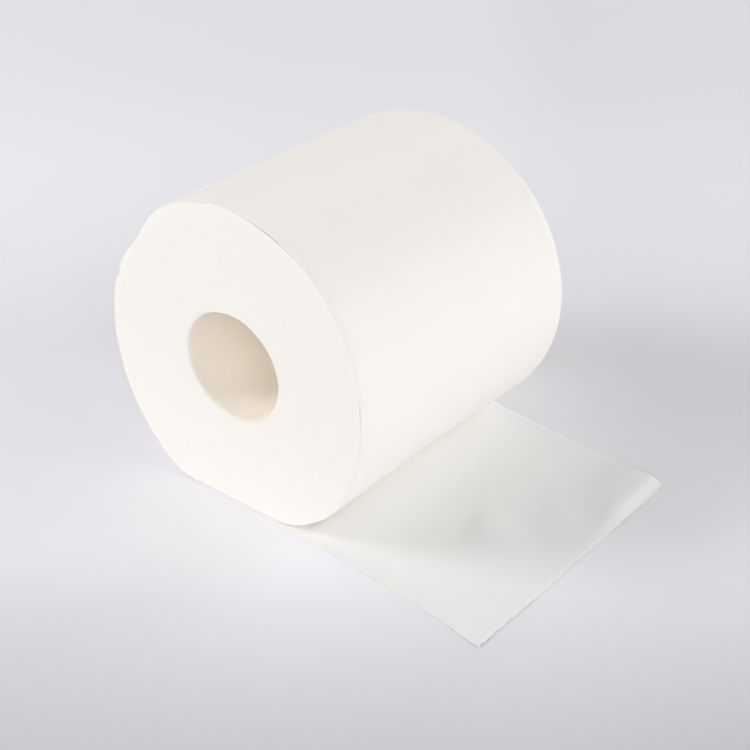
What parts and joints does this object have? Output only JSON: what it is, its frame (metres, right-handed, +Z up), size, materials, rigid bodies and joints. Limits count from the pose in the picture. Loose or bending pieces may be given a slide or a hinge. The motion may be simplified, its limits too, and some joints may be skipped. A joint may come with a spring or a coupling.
{
  "type": "toilet paper roll",
  "caption": "Roll of soft white tissue on a cardboard core, lying on its side with a loose torn tail along the floor.",
  "frame": {"origin": "centre of the flat spot that the roll rests on, on the floor under the middle of the axis", "axes": "+Z up from the floor, Y along the roll's axis with the near end at -Y, +X the way the loose tail runs"},
  "size_m": [0.1538, 0.1055, 0.1041],
  "materials": {
    "tissue": "soft matt tissue, finely embossed",
    "core_board": "matt, bare board wound on the bias"
  },
  "bodies": {
    "root": {"paper_web": "tissue", "core_tube": "core_board"}
  },
  "joints": []
}
